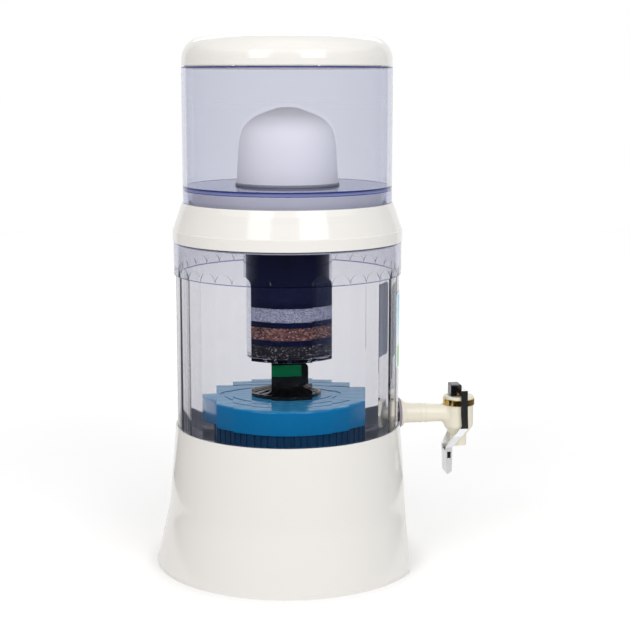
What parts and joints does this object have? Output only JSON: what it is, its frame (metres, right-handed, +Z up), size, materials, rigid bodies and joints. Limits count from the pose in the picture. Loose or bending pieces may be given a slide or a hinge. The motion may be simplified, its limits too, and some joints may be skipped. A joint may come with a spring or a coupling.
{
  "type": "gravity water filter with tap",
  "caption": "Countertop gravity water filter: clear upper tank with ceramic dome, multi-stage cartridge, clear lower tank, flared stand and lever tap.",
  "frame": {"origin": "on the tanks' common axis, at the surface that the stand rests on", "axes": "+Z up along the tanks' axis, +X towards the tap"},
  "size_m": [0.3658, 0.299, 0.59],
  "materials": {
    "white_plastic": "satin off-white moulding",
    "clear_plastic": "polished, clear, faint blue edge tint",
    "clear_blue_plastic": "polished, tinted blue",
    "label_film": "printed film, plain colour bands",
    "ceramic": "matt porous ceramic",
    "grey_plastic": "satin",
    "silicone": "matt",
    "mineral_granules": "dark speckled granules",
    "copper_granules": "brown granules",
    "silica_granules": "white granules",
    "carbon": "dark blue-black",
    "navy_plastic": "satin",
    "blue_plastic": "satin, slightly translucent",
    "black_plastic": "gloss",
    "green_plastic": "gloss, translucent",
    "cream_plastic": "satin",
    "grey_rubber": "matt",
    "brass": "polished",
    "steel": "plain",
    "chrome": "polished"
  },
  "bodies": {
    "stand": {"stand": "white_plastic"},
    "lower_tank": {"lower_tank": "clear_plastic", "front_label": "label_film", "dish_base": "navy_plastic", "dish_cover": "blue_plastic", "mineral_fill": "mineral_granules", "dish_hub": "black_plastic", "hub_knob": "black_plastic", "hub_lens": "green_plastic", "tap_body": "cream_plastic", "tap_gasket_outer": "grey_rubber", "tap_gasket_inner": "grey_rubber", "tap_nut": "cream_plastic", "tap_bonnet": "cream_plastic", "bonnet_ring": "brass", "valve_spring": "steel"},
    "collar": {"collar": "white_plastic", "support_ring": "white_plastic"},
    "upper_tank": {"upper_tank": "clear_plastic", "ceramic_dome": "ceramic", "dome_foot": "grey_plastic", "dome_washer": "silicone", "outlet_washer": "silicone", "lock_nut": "grey_plastic", "cartridge_cap": "navy_plastic", "cartridge_seal": "silicone", "cartridge_housing": "clear_plastic", "cartridge_base": "clear_blue_plastic", "mineral_bed": "mineral_granules", "divider_lower": "navy_plastic", "zeolite_bed": "copper_granules", "divider_middle": "navy_plastic", "silica_bed": "silica_granules", "divider_upper": "navy_plastic", "carbon_block": "carbon"},
    "lid": {"lid": "white_plastic"},
    "valve_stem": {"valve_stem": "steel", "valve_seal": "grey_rubber"},
    "lever": {"lever": "chrome", "lever_insert": "black_plastic", "lever_block": "black_plastic", "lever_pin": "brass"}
  },
  "joints": [
    {"name": "tank_lift", "type": "slide", "parent": "stand", "child": "lower_tank", "axis": [0, 0, 1], "range_m": [0, 0.06]},
    {"name": "collar_lift", "type": "slide", "parent": "lower_tank", "child": "collar", "axis": [0, 0, 1], "range_m": [0, 0.04]},
    {"name": "upper_lift", "type": "slide", "parent": "collar", "child": "upper_tank", "axis": [0, 0, 1], "range_m": [0, 0.2]},
    {"name": "lid_lift", "type": "slide", "parent": "upper_tank", "child": "lid", "axis": [0, 0, 1], "range_m": [0, 0.04]},
    {"name": "stem_lift", "type": "slide", "parent": "lower_tank", "child": "valve_stem", "axis": [0, 0, 1], "range_m": [0, 0.003], "stiffness_N_per_m": 1500, "springref_m": -0.003, "deforming": ["valve_spring"]},
    {"name": "lever_tilt", "type": "hinge", "parent": "valve_stem", "child": "lever", "pos_m": [0.1948, 0, 0.1863], "axis": [0, 1, 0], "range_deg": [0, 22]}
  ],
  "couplings": [
    {"joint": "lever_tilt", "follows": "stem_lift", "rad_per_m": 127.9}
  ]
}
